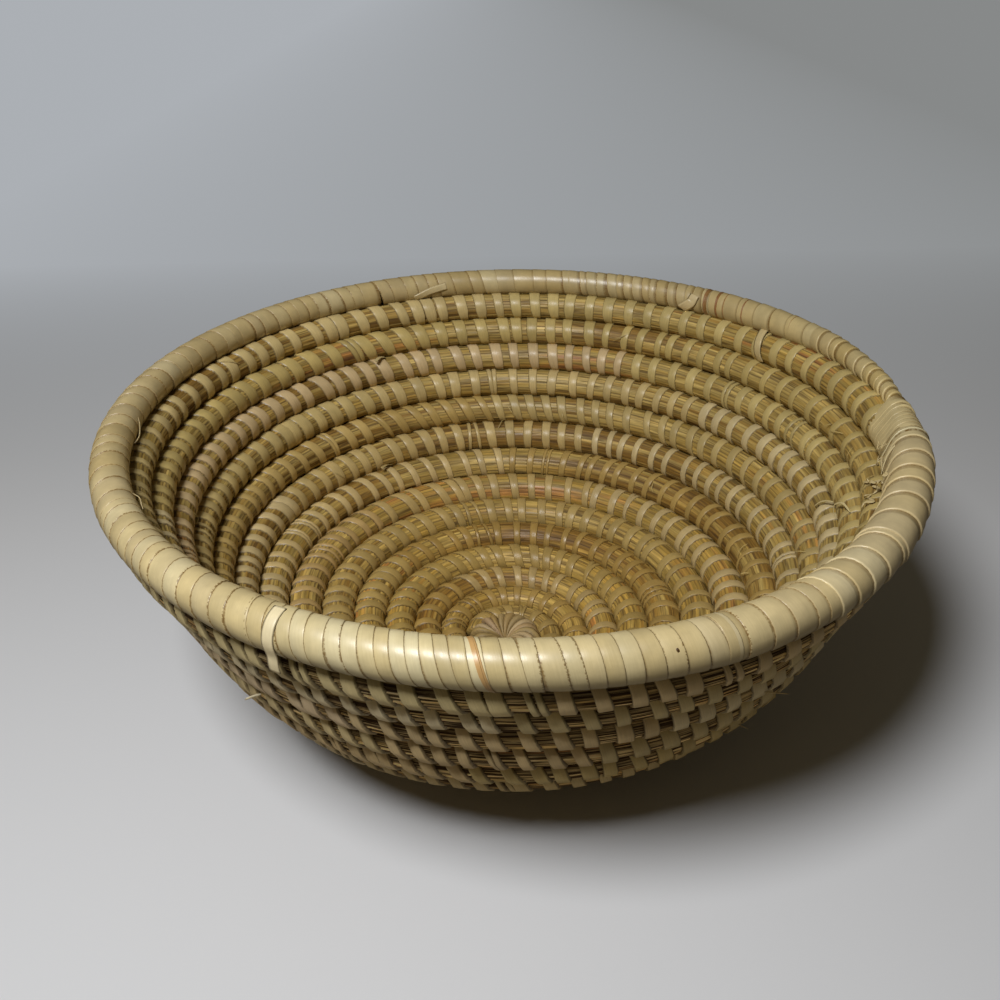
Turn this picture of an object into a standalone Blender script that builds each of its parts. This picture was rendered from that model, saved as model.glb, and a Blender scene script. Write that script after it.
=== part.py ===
"""Coiled grass basket: one bundle of grass stems, wound from a start knot in the middle of the base up to a wrapped
rim, with each turn sewn by flat leaf strips.

Metres, +Z up. The origin is the middle of the base, on the surface that the basket stands on. Places along the
bundle are given in turns, counted inwards and down from the end of the rim.
"""

import math

import bmesh
import bpy
import numpy as np
from mathutils import Matrix, Vector

MM = 0.001

# The bowl, along the middle of the bundle from the rim down to the middle of the base
RIM_RADIUS = 124.5 * MM
BOWL_DEPTH = 97.2 * MM
SLOPES_FROM_RIM = (70, 62, 68, 59, 32, 20, 17, 11, 0)  # degrees, at even steps of the way down
OVAL_SHARE = 0.025  # how far the bowl is from round
OVAL_TOWARDS = math.radians(113)
RIM_ENDS_AT = math.radians(3)  # direction in which the rim's end lies, from +X

# The grass bundle
TURNS_TO_MIDDLE = 16.18  # from the rim's end to the middle of the base
PITCH_SHARES_FROM_RIM = (0.80, 0.83, 0.85, 0.92, 1.0, 0.95, 0.88, 0.74, 0.48)  # middle to middle, of the widest
RIM_BUNDLE_RADIUS = 3.6 * MM  # drawn in tight by the rim wrap
POINTS_PER_TURN = 24
RIM_POINTS_PER_TURN = 48
SIDES = 6
FOOT_CUT_SHARE = 0.1  # of the bundle's diameter, worn flat where it stands

# The sewing strips
STRIP_THICKNESS = 0.35 * MM
STRIP_WIDTH = 3.6 * MM
CLEARANCE = 0.3 * MM
STITCHES_PER_TURN = 12

# The rim wrap
WRAP_THICKNESS = 1.2 * MM
WRAP_GROOVE = 0.3 * MM
WRAPS = 100
WRAP_CREST_SHARE = 0.7  # how far along each wrap its highest line lies

# The binding over the rim's end
BINDING_LENGTH = 25 * MM

# The start knot
KNOT_RADIUS = 9 * MM  # where it is narrowest
KNOT_HEIGHT = 6 * MM
KNOT_DIMPLE = 1.2 * MM

# Working values
TURN_GAP = STRIP_THICKNESS + 2 * CLEARANCE
WRAP_RADIUS = RIM_BUNDLE_RADIUS + CLEARANCE + WRAP_THICKNESS
LEAST_SELF_GAP = 0.4 * MM
LINE_STEPS = 2000
WELD = 0.01 * MM
OVERRUN = 5 * MM
CORNER_STEP = 2 * math.pi / SIDES
FLAT_SHARE = math.cos(CORNER_STEP / 2)  # a hexagon's middle to its flat, as a share of middle to corner

GRASS = ("grass_stems", (118, 92, 50), 0.75)
LEAF = ("split_leaf", (165, 145, 95), 0.55)
PALE_LEAF = ("pale_split_leaf", (226, 214, 170), 0.4)


def clear_scene():
    for obj in list(bpy.data.objects):
        bpy.data.objects.remove(obj)
    for collection in list(bpy.data.collections):
        bpy.data.collections.remove(collection)


def new_collection(name):
    collection = bpy.data.collections.new(name)
    bpy.context.scene.collection.children.link(collection)
    return collection


def material(name, colour, roughness):
    """A plain Principled material. The colour is as a screen shows it, from 0 to 255."""
    found = bpy.data.materials.get(name)
    if found:
        return found
    made = bpy.data.materials.new(name)
    made.use_nodes = True
    shader = made.node_tree.nodes["Principled BSDF"]
    linear = [(channel / 255) ** 2.2 for channel in colour]
    shader.inputs["Base Color"].default_value = (*linear, 1)
    shader.inputs["Roughness"].default_value = roughness
    shader.inputs["Metallic"].default_value = 0
    made.diffuse_color = (*linear, 1)
    return made


def at_even_steps(values, shares):
    """The value at each share of the way through a list whose entries stand at even steps."""
    return np.interp(shares, np.linspace(0, 1, len(values)), values)


def running_sum(rates, steps):
    """The integral of rates over steps, from zero."""
    return np.concatenate([[0], np.cumsum((rates[1:] + rates[:-1]) / 2 * np.diff(steps))])


def bowl_line():
    """The bowl's own line, from the rim to the middle of the base: turns, radius, height and slope at each step.

    The height is measured from the middle of the bundle at the middle of the base.
    """
    shares = np.linspace(0, 1, LINE_STEPS)
    drawn_slope = np.radians(at_even_steps(SLOPES_FROM_RIM, shares))
    inwards = running_sum(np.cos(drawn_slope), shares)
    down = running_sum(np.sin(drawn_slope), shares)
    radius = RIM_RADIUS * (1 - inwards / inwards[-1])
    height = BOWL_DEPTH * (1 - down / down[-1])
    slope = np.arctan2(-np.gradient(height), -np.gradient(radius))
    length = np.concatenate([[0], np.cumsum(np.hypot(np.diff(radius), np.diff(height)))])
    turns = running_sum(1 / at_even_steps(PITCH_SHARES_FROM_RIM, length / length[-1]), length)
    return turns / turns[-1] * TURNS_TO_MIDDLE, radius, height, slope, length


class Bundle:
    """The wound bundle as stations: its middle, its direction and its size at each point of the spiral."""

    def __init__(self):
        self.line_turns, self.line_radius, self.line_height, self.line_slope, self.line_length = bowl_line()
        innermost = self.innermost_turns()
        rim = np.arange(RIM_POINTS_PER_TURN) / RIM_POINTS_PER_TURN
        rest = np.arange(1, innermost, 1 / POINTS_PER_TURN)
        self.turns = np.concatenate([rim, rest])
        self.slope = np.interp(self.turns, self.line_turns, self.line_slope)
        self.corner = self.corner_radius(self.turns)
        self.middle = self.middles(self.turns)
        self.press_end_down()
        self.stand_on_floor()
        self.frame()

    def distance_to_next(self, turns):
        """Middle to middle, from a place on the bundle to the next turn inwards."""
        return np.interp(turns + 1, self.line_turns, self.line_length) - np.interp(
            turns, self.line_turns, self.line_length
        )

    def half_thickness(self, turns):
        """Half the bundle from flat to flat, which leaves TURN_GAP to the turn on either side.

        Where the bowl bends, neighbouring flats lean towards each other, and each gives way by its share.
        """
        outer = np.maximum(turns - 1, 0)
        to_outer = self.distance_to_next(outer)
        to_inner = self.distance_to_next(turns)
        lean = np.abs(
            np.interp(turns + 1, self.line_turns, self.line_slope)
            - np.interp(outer, self.line_turns, self.line_slope)
        ) / 2
        room = np.minimum(to_outer, to_inner) - TURN_GAP
        half = room / (2 * (1 + math.tan(CORNER_STEP / 2) * np.tan(lean / 2)))
        under_rim = self.distance_to_next(outer) - TURN_GAP - WRAP_RADIUS
        return np.where(turns < 2, np.minimum(half, under_rim), half)

    def innermost_turns(self):
        """How many turns there are from the rim's end down to the start knot's edge."""
        turns = np.linspace(1, self.line_turns[-1] - 1, LINE_STEPS)
        inner_edge = np.interp(turns, self.line_turns, self.line_radius) - self.half_thickness(turns)
        edge_of_oval = inner_edge * (1 - OVAL_SHARE)
        return float(np.interp(-(KNOT_RADIUS + CLEARANCE), -edge_of_oval, turns))

    def corner_radius(self, turns):
        """The bundle's radius at its corners. It is drawn in along the rim."""
        full = self.half_thickness(turns) / FLAT_SHARE
        leaves_wrap = 1 - 1 / RIM_POINTS_PER_TURN
        wound_in = np.clip((turns - leaves_wrap) / (1 / RIM_POINTS_PER_TURN + 1 / POINTS_PER_TURN), 0, 1)
        return RIM_BUNDLE_RADIUS + (full - RIM_BUNDLE_RADIUS) * wound_in

    def middles(self, turns):
        around = RIM_ENDS_AT + 2 * math.pi * turns
        oval = 1 + OVAL_SHARE * np.cos(2 * (around - OVAL_TOWARDS))
        radius = oval * np.interp(turns, self.line_turns, self.line_radius)
        height = np.interp(turns, self.line_turns, self.line_height)
        return np.stack([radius * np.cos(around), radius * np.sin(around), height], axis=-1)

    def press_end_down(self):
        """Lowers the last two stations of the rim's end on to the turn below."""
        below = self.half_thickness(np.array([1.0]))[0]
        spare = self.distance_to_next(0) - self.corner[0] * FLAT_SHARE - below - TURN_GAP
        for station, share in ((0, 1), (1, 1 / 2)):
            around = RIM_ENDS_AT + 2 * math.pi * self.turns[station]
            inwards = -Vector((math.cos(around), math.sin(around), 0)) * math.cos(self.slope[station])
            towards_next = inwards - Vector((0, 0, math.sin(self.slope[station])))
            self.middle[station] += np.array(towards_next) * spare * share

    def stand_on_floor(self):
        """Moves the bundle so that its lowest place lies below the floor by the depth that the foot is cut."""
        bottoms = self.middle[:, 2] - self.corner
        lowest = int(np.argmin(bottoms))
        cut = FOOT_CUT_SHARE * 2 * self.corner[lowest]
        self.middle[:, 2] -= bottoms[lowest] + cut

    def frame(self):
        """The directions at each station: sideways is level and square to the bundle, upwards is square to both."""
        steps = np.diff(self.middle, axis=0)
        steps /= np.linalg.norm(steps, axis=1)[:, None]
        along = np.concatenate([steps[:1], steps[1:] + steps[:-1], steps[-1:]])
        along /= np.linalg.norm(along, axis=1)[:, None]
        sideways = np.cross(along, (0, 0, 1))
        sideways /= np.linalg.norm(sideways, axis=1)[:, None]
        self.along = along
        self.sideways = sideways
        self.upwards = np.cross(sideways, along)

    def between(self, turns):
        """The station before a place, and how far on towards the next station the place is."""
        before = int(np.clip(np.searchsorted(self.turns, turns, "right") - 1, 0, len(self.turns) - 2))
        start, end = self.turns[before], self.turns[before + 1]
        return before, (turns - start) / (end - start)

    def middle_at(self, turns):
        before, share = self.between(turns)
        return (1 - share) * self.middle[before] + share * self.middle[before + 1]

    def slope_at(self, turns):
        before, share = self.between(turns)
        return float((1 - share) * self.slope[before] + share * self.slope[before + 1])

    def corner_at_station(self, station, corner, clearance=0.0):
        """A corner of the bundle's six-sided section, or a point clear of it. Corner 0 faces out of the bowl."""
        angle = self.slope[station] - math.pi / 2 + corner * CORNER_STEP
        direction = math.cos(angle) * self.sideways[station] + math.sin(angle) * self.upwards[station]
        return self.middle[station] + (self.corner[station] + clearance / FLAT_SHARE) * direction

    def corner_at(self, turns, corner, clearance=0.0):
        before, share = self.between(turns)
        first = self.corner_at_station(before, corner, clearance)
        second = self.corner_at_station(before + 1, corner, clearance)
        return (1 - share) * first + share * second

    def clear_inside(self, steps_on):
        """The radius that clears the innermost turn, this many stations on from where the bundle starts."""
        station = len(self.turns) - 1
        if steps_on:
            station += steps_on - POINTS_PER_TURN
        inner_side = self.corner[station] * FLAT_SHARE / math.cos(self.slope[station])
        return math.hypot(*self.middle[station][:2]) - inner_side - CLEARANCE

    def innermost_direction(self):
        return math.atan2(self.middle[-1][1], self.middle[-1][0])

    def run_of(self, turns):
        """The length of bundle to one whole turn, at this place."""
        return 2 * math.pi * float(np.interp(turns, self.line_turns, self.line_radius))

    def least_gap(self):
        """The least distance from the section's corners to the next turn's flats, over all stations."""
        least = math.inf
        for station, turns in enumerate(self.turns):
            if turns < 1 or turns + 1 > self.turns[-1]:
                continue
            for corner in range(SIDES):
                point = Vector(self.corner_at_station(station, corner))
                for edge in range(SIDES):
                    start = Vector(self.corner_at(turns + 1, edge))
                    side = Vector(self.corner_at(turns + 1, edge + 1)) - start
                    share = min(max((point - start).dot(side) / side.length_squared, 0), 1)
                    least = min(least, (point - start - side * share).length)
        return least


def tube(name, points, radii, slopes, resolution, finish, collection):
    """A closed tube along points, one corner of whose section faces out of the bowl at every point."""
    curve = bpy.data.curves.new(name, "CURVE")
    curve.dimensions = "3D"
    curve.twist_mode = "Z_UP"
    curve.bevel_depth = 1
    curve.bevel_resolution = resolution
    curve.use_fill_caps = True
    spline = curve.splines.new("POLY")
    spline.points.add(len(points) - 1)
    for place, point, radius, slope in zip(spline.points, points, radii, slopes):
        place.co = (*point, 1)
        place.radius = radius
        place.tilt = math.pi / 2 - slope
    obj = bpy.data.objects.new(name, curve)
    collection.objects.link(obj)
    if finish:
        curve.materials.append(material(*finish))
    return obj


def as_mesh(obj, collection):
    """The same piece as a mesh, with the tube's loose end caps welded on."""
    name = obj.name
    bpy.context.view_layer.update()
    mesh = bpy.data.meshes.new_from_object(obj.evaluated_get(bpy.context.evaluated_depsgraph_get()))
    bm = bmesh.new()
    bm.from_mesh(mesh)
    bmesh.ops.remove_doubles(bm, verts=bm.verts, dist=WELD)
    bm.to_mesh(mesh)
    bm.free()
    matrix = obj.matrix_world.copy()
    bpy.data.objects.remove(obj)
    mesh.name = name
    made = bpy.data.objects.new(name, mesh)
    made.matrix_world = matrix
    collection.objects.link(made)
    return made


def smooth(obj):
    obj.data.shade_smooth()
    obj.data.set_sharp_from_angle(angle=math.radians(35))


def cut(obj, cutter, cutters):
    """Takes the cutter's shape out of the object."""
    for collection in list(cutter.users_collection):
        collection.objects.unlink(cutter)
    cutters.objects.link(cutter)
    cutter.hide_render = True
    cutter.display_type = "WIRE"
    modifier = obj.modifiers.new("cut by " + cutter.name, "BOOLEAN")
    modifier.operation = "DIFFERENCE"
    modifier.object = cutter


def grass_coil(bundle, basket, cutters):
    """The whole bundle, from the rim's end to the start knot, worn flat where it stands."""
    coil = tube("grass_coil", bundle.middle, bundle.corner, bundle.slope, 1, GRASS, basket)
    coil = as_mesh(coil, basket)
    smooth(coil)
    across = 2 * (RIM_RADIUS + OVERRUN)
    floor = bmesh.new()
    bmesh.ops.create_cube(floor, size=1, matrix=Matrix.Diagonal((across, across, OVERRUN, 1)))
    bmesh.ops.translate(floor, verts=floor.verts, vec=(0, 0, -OVERRUN / 2))
    mesh = bpy.data.meshes.new("floor_cut")
    floor.to_mesh(mesh)
    floor.free()
    cutter = bpy.data.objects.new("floor_cut", mesh)
    cutters.objects.link(cutter)
    cut(coil, cutter, cutters)
    return coil


def rim_wrap(bundle, basket, cutters):
    """The wide pale strips, wound edge to edge round the rim: a ribbed sleeve with the bundle's bore through it."""
    first, last = 2, RIM_POINTS_PER_TURN - 1
    start, end = bundle.turns[first], bundle.turns[last]
    step = (end - start) / WRAPS
    places, radii = [], []
    for wrap in range(WRAPS):
        places += [start + wrap * step, start + (wrap + WRAP_CREST_SHARE) * step]
        radii += [WRAP_RADIUS - WRAP_GROOVE, WRAP_RADIUS]
    places.append(end)
    radii.append(WRAP_RADIUS - WRAP_GROOVE)
    points = [bundle.middle_at(place) for place in places]
    slopes = [bundle.slope_at(place) for place in places]
    sleeve = as_mesh(tube("rim_wrap", points, radii, slopes, 2, PALE_LEAF, basket), basket)
    smooth(sleeve)
    bore_radius = RIM_BUNDLE_RADIUS + CLEARANCE / FLAT_SHARE
    stations = range(first - 1, last + 2)
    bore = tube(
        "rim_wrap_bore",
        [bundle.middle[station] for station in stations],
        [bore_radius] * len(stations),
        [bundle.slope[station] for station in stations],
        1,
        None,
        cutters,
    )
    cut(sleeve, as_mesh(bore, cutters), cutters)
    return sleeve


def sewing_strip(name, bundle, first_turn, basket):
    """One turn's sewing: a flat strip that winds round the bundle, passing between it and its neighbours.

    It turns a corner of the bundle at every step, and crosses the bundle's own bends only at the corners that
    face out of the bowl and into it. There it stands proud by what a straight edge needs to pass the bend.
    """
    steps = STITCHES_PER_TURN * SIDES
    over_bend = STRIP_WIDTH / 2 * math.sin(2 * math.pi / POINTS_PER_TURN)
    first = SIDES
    count = steps - first
    bm = bmesh.new()
    bmesh.ops.create_grid(bm, x_segments=count, y_segments=1, size=0.5)
    for vert in bm.verts:
        step = first + round((vert.co.x + 0.5) * count)
        turns = first_turn + step / steps
        half_width = STRIP_WIDTH / 2 / bundle.run_of(turns)
        turns += half_width if vert.co.y < 0 else -half_width
        at_bend = step % (SIDES // 2) == 0
        vert.co = bundle.corner_at(turns, step % SIDES, CLEARANCE + over_bend * at_bend)
    mesh = bpy.data.meshes.new(name)
    bm.to_mesh(mesh)
    bm.free()
    mesh.materials.append(material(*LEAF))
    strip = bpy.data.objects.new(name, mesh)
    basket.objects.link(strip)
    solidify = strip.modifiers.new("strip thickness", "SOLIDIFY")
    solidify.thickness = STRIP_THICKNESS
    solidify.offset = 1
    solidify.use_even_offset = True
    return strip


def sewing_strips(bundle, basket):
    """A strip for each whole turn below the rim whose stitches stay clear of the floor."""
    reach = CLEARANCE + STRIP_THICKNESS
    last_turn = int(bundle.turns[-1]) - 1
    made = []
    for first_turn in range(1, last_turn + 1):
        in_turn = (bundle.turns >= first_turn) & (bundle.turns <= first_turn + 1)
        lowest = np.min(bundle.middle[in_turn, 2] - bundle.corner[in_turn]) - reach / FLAT_SHARE
        if lowest < CLEARANCE:
            break
        made.append(sewing_strip(f"sewing_strip_turn_{first_turn + 1:02d}", bundle, first_turn, basket))
    return made


def binding_outline(upper, lower, apart, extra):
    """The eight points of a band stretched round the rim's end above and the turn below, both six-sided."""
    upper += extra / FLAT_SHARE
    lower += extra / FLAT_SHARE
    top, bottom = apart / 2, -apart / 2
    right_side = [
        (lower / 2, bottom - lower * FLAT_SHARE),
        (lower, bottom),
        (upper, top),
        (upper / 2, top + upper * FLAT_SHARE),
    ]
    return right_side + [(-x, y) for x, y in reversed(right_side)]


def rim_end_binding(bundle, basket):
    """The last strips, drawn round both the rim's end and the turn below it: a flat band, open at both ends."""
    middle_turns = 1 / (2 * POINTS_PER_TURN)
    rim_middle = np.interp(middle_turns, bundle.line_turns, bundle.line_length)
    apart = float(np.interp(1 + middle_turns, bundle.line_turns, bundle.line_length) - rim_middle)
    station = int(np.searchsorted(bundle.turns, 1))
    below = Vector((bundle.middle[station] + bundle.middle[station + 1]) / 2)
    along = Vector(bundle.middle[station + 1] - bundle.middle[station]).normalized()
    slope = (bundle.slope[station] + bundle.slope[station + 1]) / 2
    sideways = along.cross(Vector((0, 0, 1))).normalized()
    upwards = sideways.cross(along)
    towards_rim = sideways * math.cos(slope) + upwards * math.sin(slope)
    out_of_bowl = towards_rim.cross(along)
    curve = bpy.data.curves.new("rim_end_binding", "CURVE")
    curve.dimensions = "2D"
    curve.fill_mode = "BOTH"
    curve.extrude = BINDING_LENGTH / 2
    lower = float(max(bundle.corner[station : station + 2]))
    for extra in (CLEARANCE + STRIP_THICKNESS, CLEARANCE):
        outline = binding_outline(RIM_BUNDLE_RADIUS, lower, apart, extra)
        spline = curve.splines.new("POLY")
        spline.points.add(len(outline) - 1)
        spline.use_cyclic_u = True
        for place, (x, y) in zip(spline.points, outline):
            place.co = (x, y, 0, 1)
    curve.materials.append(material(*PALE_LEAF))
    binding = bpy.data.objects.new("rim_end_binding", curve)
    axes = Matrix((out_of_bowl, towards_rim, out_of_bowl.cross(towards_rim))).transposed()
    binding.matrix_world = Matrix.Translation(below + towards_rim * apart / 2) @ axes.to_4x4()
    basket.objects.link(binding)
    return binding


def start_knot(bundle, basket):
    """The wrapped start: a flat pad with a bulging edge and a dimple in the middle, coiled like a snail's shell.

    Its edge follows the inner side of the innermost turn, and steps in where the bundle leaves it.
    """
    edge = KNOT_HEIGHT / 2
    shoulder = KNOT_RADIUS - edge
    corner = edge * math.sin(math.pi / 4)
    profile = [
        (0, KNOT_HEIGHT - KNOT_DIMPLE),
        (shoulder / 3, KNOT_HEIGHT - KNOT_DIMPLE / 2),
        (shoulder, KNOT_HEIGHT),
        (shoulder + corner, edge + corner),
        (KNOT_RADIUS, edge),
        (shoulder + corner, edge - corner),
        (shoulder, 0),
        (0, 0),
    ]
    bm = bmesh.new()
    verts = [bm.verts.new((x, 0, z)) for x, z in profile]
    edges = [bm.edges.new(pair) for pair in zip(verts, verts[1:])]
    bmesh.ops.spin(
        bm, geom=verts + edges, cent=(0, 0, 0), axis=(0, 0, 1), angle=2 * math.pi, steps=POINTS_PER_TURN, use_merge=True
    )
    bmesh.ops.remove_doubles(bm, verts=bm.verts, dist=WELD)
    for vert in bm.verts:
        if vert.co.xy.length > WELD:
            steps_on = round(math.atan2(vert.co.y, vert.co.x) / (2 * math.pi) * POINTS_PER_TURN) % POINTS_PER_TURN
            vert.co.xy *= bundle.clear_inside(steps_on) / KNOT_RADIUS
    bmesh.ops.rotate(bm, verts=bm.verts, matrix=Matrix.Rotation(bundle.innermost_direction(), 3, "Z"))
    bmesh.ops.recalc_face_normals(bm, faces=bm.faces)
    mesh = bpy.data.meshes.new("start_knot")
    bm.to_mesh(mesh)
    bm.free()
    mesh.materials.append(material(*LEAF))
    knot = bpy.data.objects.new("start_knot", mesh)
    basket.objects.link(knot)
    smooth(knot)
    return knot


def main():
    clear_scene()
    basket = new_collection("grass_basket")
    cutters = new_collection("cutters")
    bundle = Bundle()
    grass_coil(bundle, basket, cutters)
    rim_wrap(bundle, basket, cutters)
    strips = sewing_strips(bundle, basket)
    rim_end_binding(bundle, basket)
    start_knot(bundle, basket)
    gap = bundle.least_gap()
    print(f"{bundle.turns[-1]:.2f} turns, {len(strips)} of them with a sewing strip")
    print(f"least gap of the bundle to itself {gap / MM:.2f} mm, wanted over {LEAST_SELF_GAP / MM:.1f} mm")
    bends = [bundle.run_of(turns) / STITCHES_PER_TURN for turns in range(1, len(strips) + 2)]
    print(f"least gap of a sewing strip to itself {(min(bends) - STRIP_WIDTH) / MM:.2f} mm")


main()
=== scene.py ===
"""Coiled grass basket, dressed: the grass bundle with its stems, every stitch of the sewing strips, the
wrapped rim with its end, the pinwheel start and the loose ends, with their finishes, a floor, soft light
and the camera.

Metres, +Z up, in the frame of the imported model. Places along the bundle are given in turns, counted inwards
and down from the end of the rim. Places round the bundle are angles: 0 faces out of the bowl, 90 degrees
faces the next turn towards the rim, 180 into the bowl and 270 the next turn towards the middle of the base.
"""

import math
from collections import namedtuple

import bmesh
import bpy
import numpy as np
from mathutils import Matrix, Vector


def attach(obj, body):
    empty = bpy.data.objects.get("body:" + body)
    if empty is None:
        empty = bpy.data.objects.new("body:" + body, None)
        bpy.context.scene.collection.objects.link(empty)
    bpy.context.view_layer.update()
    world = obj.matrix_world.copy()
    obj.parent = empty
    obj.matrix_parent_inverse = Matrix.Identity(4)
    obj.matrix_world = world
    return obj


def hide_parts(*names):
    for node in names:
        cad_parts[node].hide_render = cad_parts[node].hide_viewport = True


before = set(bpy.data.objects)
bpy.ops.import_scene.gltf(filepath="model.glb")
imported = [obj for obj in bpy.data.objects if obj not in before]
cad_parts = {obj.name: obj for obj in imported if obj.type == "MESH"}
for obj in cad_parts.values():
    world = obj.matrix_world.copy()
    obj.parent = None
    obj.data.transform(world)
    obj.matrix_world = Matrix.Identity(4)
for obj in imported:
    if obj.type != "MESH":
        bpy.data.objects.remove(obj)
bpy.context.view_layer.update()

MM = 0.001
TURN = 2 * math.pi

# The bowl, as in the part's source
RIM_RADIUS = 124.5 * MM
BOWL_DEPTH = 97.2 * MM
SLOPES_FROM_RIM = (70, 62, 68, 59, 32, 20, 17, 11, 0)
OVAL_SHARE = 0.025
OVAL_TOWARDS = math.radians(113)
RIM_ENDS_AT = math.radians(3)
TURNS_TO_MIDDLE = 16.18
PITCH_SHARES_FROM_RIM = (0.80, 0.83, 0.85, 0.92, 1.0, 0.95, 0.88, 0.74, 0.48)
MIDDLE_ABOVE_FLOOR = 2.25 * MM  # the bundle's middle, in the middle of the base

# The bundle and its stems
STEMS_ROUND = 26
STATION_EVERY = 4.0 * MM
STATION_TURN = math.radians(9)
STEM_RIDGE = 0.22 * MM
STEM_WANDER = 14 * MM
BUNDLE_PARTS = (
    ("grass_turns_upper", 0.03, 3.6),
    ("grass_turns_side", 3.6, 7.6),
    ("grass_turns_base", 7.6, 14.45),
)

# The sewing strips
STITCH_EVERY_AT = (1, 6, 10, 14)  # turns
STITCH_EVERY = (7.7 * MM, 6.8 * MM, 6.4 * MM, 6.0 * MM)
STITCH_WIDTH = 3.95 * MM
STITCH_RISE = 0.5 * MM
STITCH_WIDENS_AT = (-66, -20, 60, 120)
STITCH_WIDENS = (1.06, 1.0, 0.88, 0.84)
WIDER_AT_BACK_ANGLES = (20, 70, 200, 240)
WIDER_AT_BACK = (0.0, 0.34, 0.34, 0.0)
WIDER_AT_BACK_UNTIL = ((5, 9), (1, 0))  # turns
STITCH_NARROWS_AT = (1, 4, 7, 9.5, 14)  # turns
STITCH_NARROWS = (0.9, 0.84, 0.8, 0.96, 1.02)
STITCH_EDGE = 0.3 * MM
STITCH_LEANS_UNTIL = 0.35  # of the way round, from its top
STITCH_ANGLES = (270, 250, 228, 204, 180, 156, 132, 108, 84, 58, 32, 6, -20, -44, -66, -80)
SEWN_FROM = 0.983
SEWN_TURNS = 14.4

# The rim wrap
WRAP_RADIUS_AT_END = 4.4 * MM
WRAP_RADIUS_AT_START = 6.1 * MM
WRAP_TUCK = 0.9 * MM
WRAP_LINE = 0.24 * MM  # the brown edge of a strip
WRAP_LEAN_AT = (0.0, 0.6, 0.72, 0.76, 0.8, 0.84, 0.9, 1.0)
WRAP_LEAN = (8, 12, 16, 11, 8, 11, 14, 2)
RIM_TIP = -0.024  # turns
RIM_TAPERS_FROM = 0.1
RIM_TIP_SHARE = 0.4
TIP_SINKS_AT = (-0.024, 0.0, 0.04)
TIP_SINKS = (2.3, 0.8, 0.0)  # mm nearer the turn below

# Under the rim's end the next turn lies a little higher
RAISED_AT = (0.975, 0.99, 1.03, 1.1)
RAISED = (0.0, 0.9, 0.9, 0.0)  # mm
FULLER = 0.7  # and it is thicker there by this share of that

# Outside, each turn is fuller at its lower edge and hangs over the turn below
SWELL_AT = (-90, -70, -50, -25, 0, 35, 65, 90, 270)
SWELL = (0.0, 0.15, 0.19, 0.10, 0.03, -0.08, -0.18, -0.04, 0.0)
OUTSIDE_RIDGE = 0.34 * MM  # added where the stems lie loose

# Where the rim's end lies on the turn below and is bound to it: places along that turn, its own radius there,
# and the radius and distance of what lies on it
BOUND_AT = (0.88, 0.92, 0.94, 0.965, 0.98, 0.99, 1.0, 1.03)
BOUND_OWN = (6.1, 5.6, 5.1, 5.1, 5.2, 5.3, 5.3, 5.3)
BOUND_TOP = (6.1, 6.0, 5.8, 4.8, 4.0, 3.6, 3.2, 3.2)
BOUND_APART = (0.0, 2.2, 4.0, 5.4, 6.3, 7.6, 9.4, 9.8)
JOIN = 10  # how sharply the two rounds meet
TAUT_UNTIL = (0.988, 0.996)  # from here to there the strips sink into the dip between the two rounds

FLOOR_CLEAR = 0.15 * MM


def at_even_steps(values, shares):
    """The value at each share of the way through a list whose entries stand at even steps."""
    return np.interp(shares, np.linspace(0, 1, len(values)), values)


def running_sum(rates, steps):
    return np.concatenate([[0], np.cumsum((rates[1:] + rates[:-1]) / 2 * np.diff(steps))])


def across_rows(turns, table_turns, rows):
    """Each column of rows, read at the given turns."""
    return np.stack([np.interp(turns, table_turns, rows[:, column]) for column in range(3)], axis=-1)


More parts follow.
